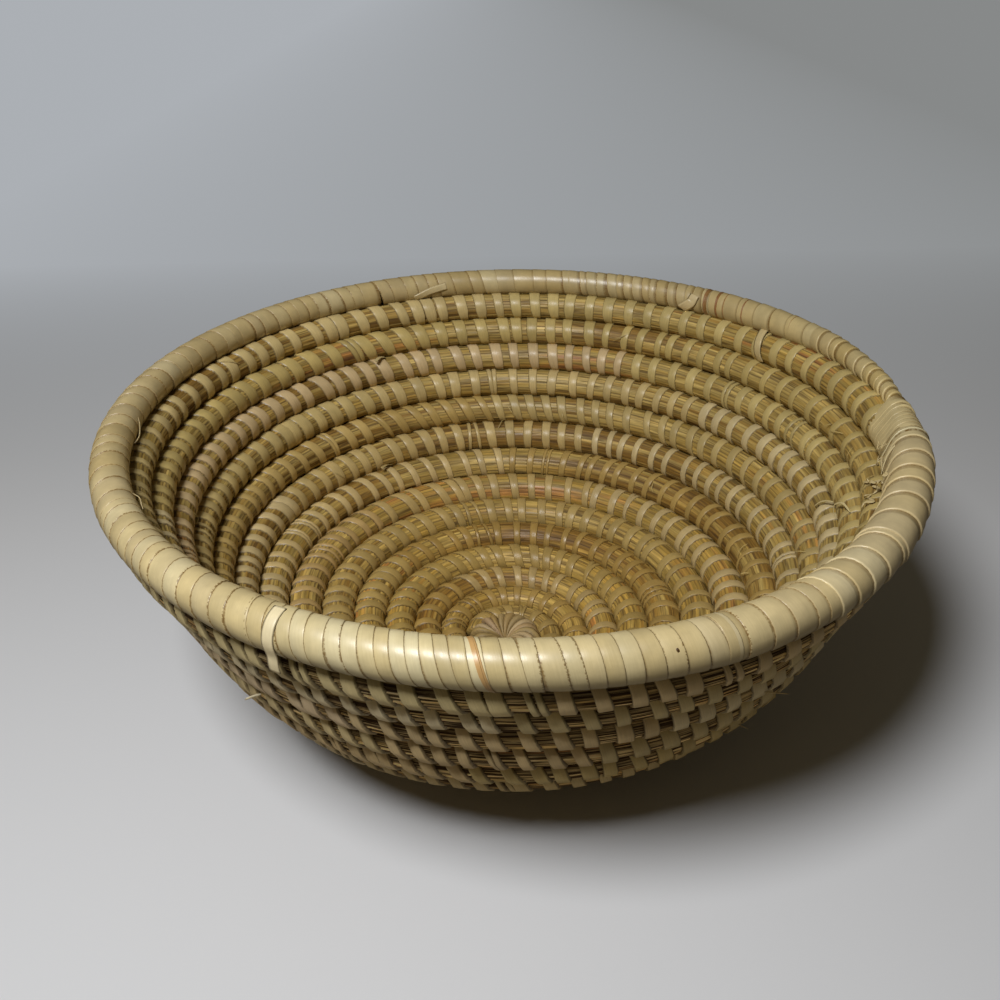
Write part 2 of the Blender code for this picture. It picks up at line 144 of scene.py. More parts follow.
class Coil:
    """The bundle's middle line, the directions round it and its size, read at any number of turns."""

    def __init__(self):
        shares = np.linspace(0, 1, 2000)
        slopes = np.radians(at_even_steps(SLOPES_FROM_RIM, shares))
        inwards = running_sum(np.cos(slopes), shares)
        down = running_sum(np.sin(slopes), shares)
        radius = RIM_RADIUS * (1 - inwards / inwards[-1])
        height = BOWL_DEPTH * (1 - down / down[-1])
        slope = np.arctan2(-np.gradient(height), -np.gradient(radius))
        length = np.concatenate([[0], np.cumsum(np.hypot(np.diff(radius), np.diff(height)))])
        turns = running_sum(1 / at_even_steps(PITCH_SHARES_FROM_RIM, length / length[-1]), length)
        turns *= TURNS_TO_MIDDLE / turns[-1]
        self.turns = np.arange(-0.03, 15.6, 1 / 720)
        self.radius = np.interp(self.turns, turns, radius)
        self.length = np.interp(self.turns, turns, length)
        around = RIM_ENDS_AT + TURN * self.turns
        oval = 1 + OVAL_SHARE * np.cos(2 * (around - OVAL_TOWARDS))
        self.middle = np.stack(
            [
                oval * self.radius * np.cos(around),
                oval * self.radius * np.sin(around),
                np.interp(self.turns, turns, height) + MIDDLE_ABOVE_FLOOR,
            ],
            axis=-1,
        )
        slope = np.interp(self.turns, turns, slope)[:, None]
        along = np.gradient(self.middle, axis=0)
        along /= np.linalg.norm(along, axis=1)[:, None]
        sideways = np.cross(along, (0, 0, 1))
        sideways /= np.linalg.norm(sideways, axis=1)[:, None]
        upwards = np.cross(sideways, along)
        self.outwards = np.sin(slope) * sideways - np.cos(slope) * upwards
        self.rimwards = np.cos(slope) * sideways + np.sin(slope) * upwards
        raised = np.interp(self.turns, RAISED_AT, RAISED) * MM
        self.middle += raised[:, None] * self.rimwards
        step_out = self.length - np.interp(self.turns - 1, turns, length)
        step_in = np.interp(self.turns + 1, turns, length) - self.length
        first = self.turns < 1
        self.half = np.where(first, step_in, (step_out + step_in) / 2) / 2
        self.half += FULLER * raised
        self.run = np.concatenate([[0], np.cumsum(np.linalg.norm(np.diff(self.middle, axis=0), axis=1))])

    def read(self, turns, name):
        rows = getattr(self, name)
        if rows.ndim == 1:
            return np.interp(turns, self.turns, rows)
        return across_rows(turns, self.turns, rows)

    def point(self, turns, angle, radius):
        """Points round the bundle's middle line. The floor stops them."""
        angle = np.radians(angle)[..., None]
        radius = np.asarray(radius)[..., None]
        found = self.read(turns, "middle") + radius * (
            np.cos(angle) * self.read(turns, "outwards") + np.sin(angle) * self.read(turns, "rimwards")
        )
        found[..., 2] = np.maximum(found[..., 2], FLOOR_CLEAR)
        return found


def linear(colour):
    """A colour as a screen shows it, from 0 to 255, in the numbers that the renderer works with."""
    return np.power(np.asarray(colour, float) / 255, 2.2)


class Cloth:
    """Strips and tubes that share one mesh: each is a grid of faces, bent to shape."""

    def __init__(self, name):
        self.name = name
        self.bm = bmesh.new()
        self.uv = self.bm.loops.layers.uv.new("UVMap")
        self.colour = self.bm.verts.layers.float_color.new("colour")
        self.edge = self.bm.verts.layers.float.new("edge")
        self.toothed = self.bm.verts.layers.float.new("toothed")

    def add(self, places, uvs, colours, edges, toothed=None, weld=False):
        """A grid whose vertex in row r and column c stands at places[r, c]."""
        rows, columns = places.shape[:2]
        made = bmesh.ops.create_grid(self.bm, x_segments=rows - 1, y_segments=columns - 1, size=0.5)["verts"]
        faces = set()
        cells = {}
        for vert in made:
            row = round((vert.co.x + 0.5) * (rows - 1))
            column = round((vert.co.y + 0.5) * (columns - 1))
            cells[vert] = (row, column)
            faces.update(vert.link_faces)
        for vert, (row, column) in cells.items():
            vert.co = places[row, column]
            colour = colours[row, column]
            vert[self.colour] = (colour[0], colour[1], colour[2], 1)
            vert[self.edge] = edges[row, column]
            if toothed is not None:
                vert[self.toothed] = toothed[column]
        for face in faces:
            face.smooth = True
            for loop in face.loops:
                loop[self.uv].uv = uvs[cells[loop.vert]]
        if weld:
            bmesh.ops.remove_doubles(self.bm, verts=made, dist=0.001 * MM)
        return made

    def finish(self, material, slot, replaced=()):
        mesh = bpy.data.meshes.new(self.name)
        self.bm.to_mesh(mesh)
        self.bm.free()
        mesh.materials.append(material)
        piece = bpy.data.objects.new(self.name, mesh)
        bpy.context.scene.collection.objects.link(piece)
        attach(piece, "root")
        if replaced:
            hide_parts(*replaced)
        return piece


# Finishes

EDGE_BROWN = linear((74, 52, 24))
EDGE_GOLD = linear((120, 90, 42))
GROOVE_BROWN = linear((62, 40, 15))


class Finish:
    """A material with a Principled shader, and short ways to add and join its nodes."""

    def __init__(self, name):
        self.material = bpy.data.materials.new(name)
        self.material.use_nodes = True
        self.tree = self.material.node_tree
        self.shader = self.tree.nodes["Principled BSDF"]
        self.coordinates = self.tree.nodes.new("ShaderNodeTexCoord")

    def join(self, value, socket):
        if isinstance(value, bpy.types.NodeSocket):
            self.tree.links.new(value, socket)
        else:
            socket.default_value = value

    def attribute(self, name, output):
        node = self.tree.nodes.new("ShaderNodeAttribute")
        node.attribute_name = name
        return node.outputs[output]

    def stretched(self, source, scale, shift=(0, 0, 0)):
        node = self.tree.nodes.new("ShaderNodeMapping")
        self.join(self.coordinates.outputs[source], node.inputs["Vector"])
        node.inputs["Scale"].default_value = scale
        node.inputs["Location"].default_value = shift
        return node.outputs["Vector"]

    def noise(self, vector, scale, detail=3.0, roughness=0.55):
        node = self.tree.nodes.new("ShaderNodeTexNoise")
        self.join(vector, node.inputs["Vector"])
        node.inputs["Scale"].default_value = scale
        node.inputs["Detail"].default_value = detail
        node.inputs["Roughness"].default_value = roughness
        return node.outputs["Fac"]

    def range(self, value, low, high, to_low=0.0, to_high=1.0):
        node = self.tree.nodes.new("ShaderNodeMapRange")
        self.join(value, node.inputs["Value"])
        node.inputs["From Min"].default_value = low
        node.inputs["From Max"].default_value = high
        node.inputs["To Min"].default_value = to_low
        node.inputs["To Max"].default_value = to_high
        return node.outputs["Result"]

    def sum(self, operation, first, second=0.0):
        node = self.tree.nodes.new("ShaderNodeMath")
        node.operation = operation
        self.join(first, node.inputs[0])
        self.join(second, node.inputs[1])
        return node.outputs["Value"]

    def blend(self, how, share, first, second):
        node = self.tree.nodes.new("ShaderNodeMix")
        node.data_type = "RGBA"
        node.blend_type = how
        self.join(share, node.inputs["Factor"])
        self.join(first, node.inputs["A"])
        self.join(second, node.inputs["B"])
        return node.outputs["Result"]

    def grey(self, value):
        node = self.tree.nodes.new("ShaderNodeCombineColor")
        for channel in ("Red", "Green", "Blue"):
            self.join(value, node.inputs[channel])
        return node.outputs["Color"]

    def bump(self, height, strength, distance):
        node = self.tree.nodes.new("ShaderNodeBump")
        self.join(height, node.inputs["Height"])
        node.inputs["Strength"].default_value = strength
        node.inputs["Distance"].default_value = distance
        self.join(node.outputs["Normal"], self.shader.inputs["Normal"])


def leaf(name, roughness, fibre_contrast, edge_from, edge_share, edge_colour, relief=0.5, gloss=0.0):
    """Split leaf: fine fibres along the strip, mottled, with darker cut edges."""
    finish = Finish(name)
    fibres = finish.noise(finish.stretched("UV", (3.2, 0.09, 1)), 1.0, 4.0, 0.6)
    fine = finish.noise(finish.stretched("UV", (9.0, 0.22, 1), (31, 7, 0)), 1.0, 2.0)
    blotches = finish.noise(finish.stretched("Object", (1, 1, 1)), 160.0, 3.0)
    colour = finish.attribute("colour", "Color")
    light = finish.range(fibres, 0.3, 0.7, 1 - fibre_contrast, 1 + fibre_contrast)
    colour = finish.blend("MULTIPLY", 1.0, colour, finish.grey(light))
    light = finish.range(fine, 0.3, 0.7, 1 - fibre_contrast / 2, 1 + fibre_contrast / 2)
    colour = finish.blend("MULTIPLY", 1.0, colour, finish.grey(light))
    light = finish.range(blotches, 0.35, 0.65, 0.9, 1.08)
    colour = finish.blend("MULTIPLY", 1.0, colour, finish.grey(light))
    breaks = finish.noise(finish.stretched("UV", (0.05, 1.3, 1), (3, 17, 0)), 1.0, 2.0)
    edge = finish.range(finish.attribute("edge", "Fac"), edge_from, 1.0, 0.0, edge_share)
    edge = finish.sum("MULTIPLY", edge, finish.range(breaks, 0.35, 0.6, 1.0, 0.45))
    colour = finish.blend("MIX", edge, colour, (*edge_colour, 1))
    dots = finish.noise(finish.stretched("UV", (1.1, 1.7, 1), (13, 5, 0)), 1.0, 1.0)
    dots = finish.sum("MULTIPLY", finish.attribute("toothed", "Fac"), finish.range(dots, 0.47, 0.55))
    colour = finish.blend("MIX", finish.range(dots, 0.3, 0.7, 0.0, 0.7), colour, (*EDGE_GOLD, 1))
    finish.join(colour, finish.shader.inputs["Base Color"])
    finish.join(
        finish.range(fibres, 0.3, 0.7, roughness - 0.1, roughness + 0.12), finish.shader.inputs["Roughness"]
    )
    height = finish.sum("ADD", finish.sum("MULTIPLY", fibres, 1.0), finish.sum("MULTIPLY", fine, 0.5))
    finish.bump(height, relief, 0.12 * MM)
    finish.shader.inputs["Coat Weight"].default_value = gloss
    finish.shader.inputs["Coat Roughness"].default_value = 0.32
    return finish.material


def grass(name):
    """Dry stems side by side: each stem's own colour, fine streaks along it and dark gaps between some."""
    finish = Finish(name)
    streaks = finish.noise(finish.stretched("UV", (2.4, 0.07, 1)), 1.0, 3.0, 0.6)
    patches = finish.noise(finish.stretched("UV", (0.9, 0.05, 1), (5, 11, 0)), 1.0, 2.0)
    gaps = finish.noise(finish.stretched("UV", (0.8, 0.04, 1), (9, 23, 0)), 1.0, 2.0)
    colour = finish.attribute("colour", "Color")
    light = finish.range(streaks, 0.3, 0.7, 0.72, 1.25)
    colour = finish.blend("MULTIPLY", 1.0, colour, finish.grey(light))
    light = finish.range(patches, 0.35, 0.65, 0.75, 1.2)
    colour = finish.blend("MULTIPLY", 1.0, colour, finish.grey(light))
    # Partly painted shade: grooves, gaps and, outside, fine lines between the stems are painted dark brown, part the
    # brown of deeper stems and part shade.
    groove = finish.range(finish.attribute("edge", "Fac"), 0.3, 1.0, 0.0, 0.78)
    dark = finish.sum("MAXIMUM", groove, finish.range(gaps, 0.54, 0.64, 0.0, 0.6))
    lines = finish.noise(finish.stretched("UV", (3.3, 0.035, 1), (17, 3, 0)), 1.0, 2.0)
    outside = finish.attribute("toothed", "Fac")
    loose = finish.sum("MULTIPLY", finish.range(lines, 0.5, 0.54), outside)
    dark = finish.sum("MAXIMUM", dark, finish.sum("MULTIPLY", loose, 0.95))
    bright = finish.sum("MULTIPLY", finish.range(lines, 0.5, 0.42, 0.0, 0.8), outside)
    colour = finish.blend("MULTIPLY", 1.0, colour, finish.grey(finish.sum("ADD", 1.0, bright)))
    colour = finish.blend("MIX", dark, colour, (*GROOVE_BROWN, 1))
    finish.join(colour, finish.shader.inputs["Base Color"])
    dull = finish.sum("MULTIPLY", dark, 0.5)
    rough = finish.sum("ADD", finish.range(streaks, 0.3, 0.7, 0.36, 0.56), dull)
    finish.join(rough, finish.shader.inputs["Roughness"])
    finish.bump(finish.sum("SUBTRACT", streaks, dark), 0.5, 0.2 * MM)
    return finish.material


def pale_floor():
    """A pale cloth-like floor. Far from the basket the camera sees unlit ground, painted paler left than right."""
    finish = Finish("pale_floor")
    nodes = finish.tree.nodes
    grain = finish.noise(finish.stretched("Object", (1, 1, 1)), 900.0, 2.0)
    camera_sees = nodes.new("ShaderNodeLightPath").outputs["Is Camera Ray"]
    floor_colour = finish.blend("MIX", camera_sees, (*FLOOR_BOUNCE, 1), (*FLOOR_COLOUR, 1))
    finish.join(floor_colour, finish.shader.inputs["Base Color"])
    finish.shader.inputs["Roughness"].default_value = 0.9
    finish.bump(grain, 0.1, 0.1 * MM)
    split = nodes.new("ShaderNodeSeparateXYZ")
    finish.join(finish.coordinates.outputs["Object"], split.inputs[0])
    length = nodes.new("ShaderNodeVectorMath")
    length.operation = "LENGTH"
    finish.join(finish.coordinates.outputs["Object"], length.inputs[0])
    away = finish.range(length.outputs["Value"], *ROUND_GROUND)
    far = finish.sum("MAXIMUM", finish.range(split.outputs["Y"], GROUND_STARTS, GROUND_FULL), away)
    seen = finish.sum("MULTIPLY", far, camera_sees)
    side = finish.range(split.outputs["X"], -0.5, 0.6)
    ground = nodes.new("ShaderNodeEmission")
    left_colour = (*linear(GROUND_LEFT), 1)
    ground_colour = finish.blend("MIX", side, left_colour, (*linear(GROUND_RIGHT), 1))
    beyond = finish.range(split.outputs["X"], *GROUND_MEETS_ROOM)
    finish.join(finish.blend("MIX", beyond, ground_colour, left_colour), ground.inputs["Color"])
    mix = nodes.new("ShaderNodeMixShader")
    finish.join(seen, mix.inputs["Fac"])
    finish.join(finish.shader.outputs["BSDF"], mix.inputs[1])
    finish.join(ground.outputs["Emission"], mix.inputs[2])
    finish.join(mix.outputs["Shader"], nodes["Material Output"].inputs["Surface"])
    return finish.material


# Pieces


def swell(angles):
    """How much fuller than round a turn is at an angle round it."""
    return 1 + np.interp((np.asarray(angles) + 90) % 360 - 90, SWELL_AT, SWELL)


def browner(turns):
    """The grass and the strips are browner towards the middle of the base."""
    share = np.clip((np.asarray(turns, float) - 3) / 8, 0, 1)[..., None]
    return 1 - share * np.array([0.24, 0.33, 0.5])


def paler_outside(turns):
    """Outside, the front and the right are paler than the left."""
    around = RIM_ENDS_AT + TURN * np.asarray(turns, float)
    return 1 + PALER_OUTSIDE * np.clip(np.cos(around - PALEST_OUTSIDE), 0, 1)[..., None]


def smooth_noise(rng, run, knot_every):
    """A value from -1 to 1 that wanders smoothly along the bundle."""
    knots = np.arange(0, run[-1] + 2 * knot_every, knot_every)
    return np.interp(run, knots, rng.uniform(-1, 1, len(knots)))


PALER_OUTSIDE = 0.3
PALEST_OUTSIDE = math.radians(290)
STEM_COLOURS = (
    (128, 98, 48),
    (146, 114, 58),
    (174, 144, 80),
    (194, 168, 102),
    (164, 138, 76),
    (182, 150, 78),
    (190, 138, 78),
    (166, 112, 70),
)


def stem_colours(rng, run, count):
    """A colour for every stem at every station: brown to gold, in patches."""
    palette = linear(STEM_COLOURS)
    regions = smooth_noise(rng, run, 60 * MM) * 2.2 + 3.0
    colours = np.zeros((len(run), count, 3))
    for stem in range(count):
        shift = smooth_noise(rng, run, 34 * MM) * 1.8
        place = np.clip(regions + shift, 0, len(palette) - 1.001)
        low = place.astype(int)
        share = (place - low)[:, None]
        colours[:, stem] = palette[low] * (1 - share) + palette[low + 1] * share
        colours[:, stem] *= 1 + 0.25 * smooth_noise(rng, run, 18 * MM)[:, None]
    return colours


# Partly painted highlight: on the base turns the stems are painted lighter, standing in for their glints; the rest is
# their own tone.
STEMS_TONE_AT = (1, 5, 8, 11, 13.2, 14)  # turns
STEMS_TONE = (
    (0.98, 0.97, 0.93),
    (0.95, 0.94, 0.89),
    (0.96, 0.93, 0.82),
    (1.10, 1.03, 0.84),
    (1.10, 1.02, 0.82),
    (0.82, 0.76, 0.64),
)
OUTSIDE_STEMS = (0.12, 0.17, 0.85)  # how their colour differs there: greyer
SHADED_AT = (-90, 0, 45, 85, 130, 270)  # painted shade: outside, just under the turn above, the stems are painted darker, and lower down a little lighter
SHADED = (1.1, 1.1, 0.45, 0.34, 1.0, 1.0)


def grass_bundle(coil, finish):
    """The whole bundle in three lengths, with a ridge for every stem that shows and a groove between each two."""
    rng = np.random.default_rng(11)
    sides = 2 * STEMS_ROUND
    angles = np.linspace(0, 360, sides + 1) + 270
    for name, start, end in BUNDLE_PARTS:
        stations = [start]
        while stations[-1] < end:
            around = TURN * float(coil.read(stations[-1], "radius"))
            stations.append(min(stations[-1] + min(STATION_EVERY / around, STATION_TURN / TURN), end))
        turns = np.array(stations)
        run = coil.read(turns, "run")
        run = run - run[0]
        radius = np.interp(turns, (0.962, 0.978), (0.5, 1.005)) * coil.read(turns, "half")
        ridge = np.zeros((len(turns), sides + 1))
        # Partly painted shade: each groove between stems is marked to be painted dark, part the brown of deeper stems
        # and part shade; outside, more so.
        edges = np.zeros((len(turns), sides + 1))
        angle_grid = np.repeat(angles[None, :], len(turns), axis=0)
        for stem in range(STEMS_ROUND):
            ridge[:, 2 * stem] = STEM_RIDGE * (0.6 + 0.9 * smooth_noise(rng, run, STEM_WANDER))
            ridge[:, 2 * stem + 1] = -STEM_RIDGE * (0.9 + 0.6 * smooth_noise(rng, run, STEM_WANDER))
            edges[:, 2 * stem + 1] = 0.62 + 0.38 * smooth_noise(rng, run, STEM_WANDER)
            wander = 1.6 * smooth_noise(rng, run, 30 * MM)
            angle_grid[:, 2 * stem] += wander
            angle_grid[:, 2 * stem + 1] += wander
        ridge[:, -1] = ridge[:, 0]
        angle_grid[:, -1] = angle_grid[:, 0] + 360
        outside = np.clip(1.4 * np.cos(np.radians(angle_grid)), 0, 1) * (turns > 1.0)[:, None]
        ridge += np.where(np.arange(sides + 1) % 2, -0.8, 0.2) * OUTSIDE_RIDGE * outside
        edges += np.arange(sides + 1) % 2 * 0.12 * outside
        turns_grid = np.repeat(turns[:, None], sides + 1, axis=1)
        places = coil.point(turns_grid, angle_grid, radius[:, None] * swell(angle_grid) + ridge)
        places[:, -1] = places[:, 0]
        colours = np.repeat(stem_colours(rng, run, STEMS_ROUND), 2, axis=1)
        colours = np.concatenate([colours, colours[:, :1]], axis=1)
        outside_tone = (1 + np.array(OUTSIDE_STEMS)) * paler_outside(turns)[:, None] - 1
        colours *= 1 + outside_tone * outside[..., None]
        colours *= across_rows(turns, STEMS_TONE_AT, np.array(STEMS_TONE))[:, None, :]
        # Painted shade: outside the bowl the stems are painted darker just under the turn above.
        shaded = np.interp((angle_grid + 90) % 360 - 90, SHADED_AT, SHADED)
        colours *= np.where(turns[:, None] > 1, shaded, 1)[..., None]
        around = np.arange(sides + 1) * 0.67
        uvs = np.stack(np.broadcast_arrays(around[None, :], (run / MM)[:, None]), axis=-1)
        cloth = Cloth(name)
        cloth.add(places, uvs, colours, edges, outside.max(axis=0), weld=True)
        close_ends(cloth)
        cloth.finish(finish, "grass_stems", ("grass_coil",))


def close_ends(cloth):
    rims = [edge for edge in cloth.bm.edges if edge.is_boundary]
    bmesh.ops.holes_fill(cloth.bm, edges=rims, sides=0)


OUTSIDE_LEAF = (0.1, 0.17, 0.42)  # how the strips' colour differs outside the bowl: greyer
LEAF_COLOURS = (
    (186, 166, 112),
    (192, 168, 126),
    (178, 157, 100),
    (200, 180, 132),
    (174, 149, 92),
    (198, 180, 136),
    (188, 167, 116),
    (184, 164, 108),
    (188, 163, 114),
    (182, 158, 102),
    (182, 162, 110),
)


OUTSIDE_LEAN_AT = (0, 90, 180, 210, 235, 250, 262, 275, 300, 360)
OUTSIDE_LEAN = (8, 10, 24, 32, 29, 24, 21, 20, 14, 8)


def inside_lean(around):
    """How far the stitches lean inside the bowl, at a direction round the basket, in degrees from +X."""
    return np.interp(around % 360, [0, 60, 90, 115, 150, 200, 270, 360], [4, 2, 9, 18, 12, 5, 4, 4])


def outside_lean(around):
    """How far the stitches lean on the outside, at a direction round the basket, in degrees from +X."""
    return np.interp(around % 360, OUTSIDE_LEAN_AT, OUTSIDE_LEAN)


def stitch(cloth, coil, rng, turns, width, slant, colour):
    """One stitch: out of the seam below the turn, up over it inside the bowl, down its outside into the seam again."""
    half = float(coil.read(turns, "half"))
    per_run = 1 / (TURN * float(coil.read(turns, "radius")))
    around = math.degrees(RIM_ENDS_AT + TURN * turns)
    lean_in = -math.tan(math.radians(float(inside_lean(around)) + slant + rng.normal(0, 2.5)))
    lean_out = math.tan(math.radians(float(outside_lean(around)) + rng.normal(0, 3)))
    angles = np.array(STITCH_ANGLES, float)
    from_top = np.radians(angles - 90)
    leaning = np.maximum(from_top, -TURN * STITCH_LEANS_UNTIL)
    centre = np.where(from_top > 0, lean_in, -lean_out) * half * leaning
    level = STITCH_RISE * (1 + 0.9 * np.clip(np.cos(np.radians(angles)), 0, 1))
    level[0] = -0.3 * MM
    level[-2] = 2.4 * STITCH_RISE
    level[-1] = -0.7 * MM
    inner = width / 2 - STITCH_EDGE
    columns = np.array([-width / 2 - 0.1 * MM, -width / 2, -inner, inner, width / 2, width / 2 + 0.4 * MM])
    heights = np.array([-0.8, -0.05, 0.08, 0.08, -0.05, -0.75]) * MM
    tilt = rng.normal(0, 0.05) * MM
    edges = np.tile(np.array([1.0, 1.0, 0.0, 0.0, 1.0, 1.0]), (len(angles), 1))
    wider = np.interp(angles, STITCH_WIDENS_AT, STITCH_WIDENS)
    at_back = max(0, math.sin(math.radians(around))) * np.interp(turns, *WIDER_AT_BACK_UNTIL)
    wider += at_back * np.interp(angles, WIDER_AT_BACK_ANGLES, WIDER_AT_BACK)
    place = turns + (centre[:, None] + wider[:, None] * columns[None, :]) * per_run
    radius = coil.read(place, "half") * swell(angles)[:, None] + level[:, None]
    radius = radius + (heights + tilt * np.sign(columns))[None, :]
    places = coil.point(place, np.repeat(angles[:, None], len(columns), axis=1), radius)
    run = half * np.abs(from_top - from_top[0]) / MM
    across = columns / MM + np.array([-0.6, 0, 0, 0, 0, 0.6]) + rng.uniform(0, 400)
    uvs = np.stack(np.broadcast_arrays(across[None, :], run[:, None]), axis=-1)
    # Painted shadow: the outer columns are skirts beside the stitch, painted dark as the shadow in the gap between
    # strip and stems, darkest on its right.
    shades = np.array([0.4, 1, 1, 1, 0.9, 0.2])[:, None]
    outside = np.clip(np.cos(np.radians(angles)), 0, 1)[:, None, None]
    outside_tone = (1 + np.array(OUTSIDE_LEAF)) * paler_outside(turns) - 1
    colours = colour * browner(turns) * shades * (1 + outside_tone * outside)
    cloth.add(places, uvs, colours, edges)


SPLIT_SHARE = 0.045  # of the stitches, sewn with a strip that has split in two
STITCH_APART_RIGHT = 0.34  # how much wider apart the stitches are on the basket's right, and on its left
STITCH_APART_LEFT = 0.02
STITCH_APART_BACK = 0.12  # further apart at the back, and closer at the front
WIDEST_APART = math.radians(25)  # how far short of the rim's end that is at its most
WIDER_AT_SIDES_AT = (5, 10)  # turns
WIDER_AT_SIDES = (0.38, 0.16)
STEP_SHARES = (0.66, 0.9, 1.0, 1.12)
STEP_CHANCES = (0.06, 0.3, 0.34, 0.3)


def sewing(coil, finish):
    """The stitches of every turn below the rim. A strip's colour runs on through its own stitches."""
    rng = np.random.default_rng(5)
    nodes = set(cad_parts)
    palette = linear(LEAF_COLOURS)
    left = 0
    made = []
    first = SEWN_FROM
    turn = 1
    while first < SEWN_TURNS:
        cloth = Cloth(f"stitches_turn_{turn + 1:02d}")
        turns = first
        while turns < min(turn + 1, SEWN_TURNS):
            if left <= 0:
                colour = palette[rng.integers(len(palette))]
                left = int(rng.integers(7, 26))
                strip_width = STITCH_WIDTH * rng.uniform(0.84, 1.12)
                slant = rng.normal(0, 4)
            left -= 1
            width = strip_width * rng.uniform(0.9, 1.1)
            per_run = 1 / (TURN * float(coil.read(turns, "radius")))
            facing = math.cos(WIDEST_APART + RIM_ENDS_AT + TURN * turns)
            # Painted light: stitches on the basket's left are painted up to 13 per cent lighter.
            shade = colour * rng.uniform(0.92, 1.08) * (1 + 0.13 * max(0, -facing))
            wide_apart = 1 + facing**2 * (STITCH_APART_RIGHT if facing > 0 else STITCH_APART_LEFT)
            wide_apart *= 1 + STITCH_APART_BACK * math.sin(RIM_ENDS_AT + TURN * turns)
            width *= 1 + float(np.interp(turns, WIDER_AT_SIDES_AT, WIDER_AT_SIDES)) * facing**2
            width *= float(np.interp(turns, STITCH_NARROWS_AT, STITCH_NARROWS))
            if rng.uniform() < SPLIT_SHARE:
                apart = width * 0.34 * per_run
                stitch(cloth, coil, rng, turns - apart, width * 0.42, slant, shade)
                stitch(cloth, coil, rng, turns + apart, width * 0.42, slant + rng.normal(0, 5), shade * 0.96)
            else:
                stitch(cloth, coil, rng, turns, width, slant, shade)
            step = rng.choice(STEP_SHARES, p=STEP_CHANCES) * rng.uniform(0.95, 1.05) * wide_apart
            turns += step * float(np.interp(turns, STITCH_EVERY_AT, STITCH_EVERY)) * per_run
        first = turns
        node = f"sewing_strip_turn_{turn + 1:02d}"
        made.append(cloth.finish(finish, "split_leaf", (node,) if node in nodes else ()))
        turn += 1
    return made


def wrap_radius(turns):
    """The rim's radius over its wrap: it thins out towards its end."""
    full = WRAP_RADIUS_AT_END + (WRAP_RADIUS_AT_START - WRAP_RADIUS_AT_END) * np.clip(turns, 0, 1)
    share = np.clip((turns - RIM_TIP) / (RIM_TAPERS_FROM - RIM_TIP), 0, 1)
    return full * (RIM_TIP_SHARE + (1 - RIM_TIP_SHARE) * share * (2 - share))


def round_rim(coil, turns, angles, lift):
    """Places on one lap of the rim by itself. Below, the laps reach down to the next turn."""
    radius = wrap_radius(turns)
    below = 2 * coil.read(turns, "half") - 0.97 * coil.read(turns + 1, "half")
    below = below - np.interp(turns + 1, RAISED_AT, RAISED) * MM
    sinks = np.interp(turns, TIP_SINKS_AT, TIP_SINKS) * MM
    longer = np.maximum(below - sinks - radius, 0)
    down = np.clip(-np.sin(np.radians(angles)), 0, 1)
    places = coil.point(turns, angles, radius + longer * down + lift)
    return places - sinks[..., None] * coil.read(turns, "rimwards")


def round_both(coil, turns, angles, lift):
    """Places on one lap drawn round the rim's end and the turn below it, which becomes the rim itself."""
    own = np.interp(turns, BOUND_AT, BOUND_OWN) * MM
    top = np.interp(turns, BOUND_AT, BOUND_TOP) * MM
    apart = np.interp(turns, BOUND_AT, BOUND_APART) * MM
    sine = np.sin(np.radians(angles))
    cosine = np.cos(np.radians(angles))
    across = np.clip(top**2 - (apart * cosine) ** 2, 0, None)
    far = np.where(across > 0, np.clip(apart * sine + np.sqrt(across), 0, None), 0)
    sunk = coil.point(turns, angles, (own**JOIN + far**JOIN) ** (1 / JOIN) + lift)
    on_top = top + apart * sine > own
    taut = coil.point(turns, angles, np.where(on_top, top, own) + lift)
    taut += np.where(on_top, apart, 0)[..., None] * coil.read(turns, "rimwards")
    share = np.interp(turns, TAUT_UNTIL, (0, 1))[..., None]
    return taut * (1 - share) + sunk * share


WRAP_COLOURS = (
    (220, 203, 154),
    (214, 195, 144),
    (224, 210, 166),
    (206, 186, 134),
    (216, 197, 146),
    (212, 195, 150),
)


EVEN_LAP = tuple(np.linspace(-92, 272, 21))
BOUND_LAP = (-92, -66, -42, -20, 0, 16, 30, 42, 52, 60, 66, 72, 78, 84, 90)
BOUND_LAP += tuple(180 - angle for angle in reversed(BOUND_LAP[:-1]))


Lap = namedtuple("Lap", "width step side lean hollow band fades", defaults=(0.94, WRAP_LINE, False))
# A lap's width, the height of its raised edge, which side that is on, the tangent of its lean, how dark the
# painted shade on its tucked edge is, how far that reaches, and whether its edges only show outside
RAISED_BAND = 0.3 * MM
FADES_AT = (100, 150)
FLARES_AT = (-70, 0, 45)  # outside and below, the raised edges of coarse laps stand out further
FLARES = (2.0, 1.7, 1.0)
FLARES_ABOVE = 0.35 * MM
# Painted shade: the shade on a lap's tucked edge is painted darker outside the rim, lighter inside, and with this tint.
DEEPER_AT = (30, 110)
DEEPER = (1.35, 0.85)
PAINTED_SHADE_TINT = (0.92, 1.0, 1.12)
STREAK_BELOW = 0.8 * MM  # narrower strips have no dark edges of their own


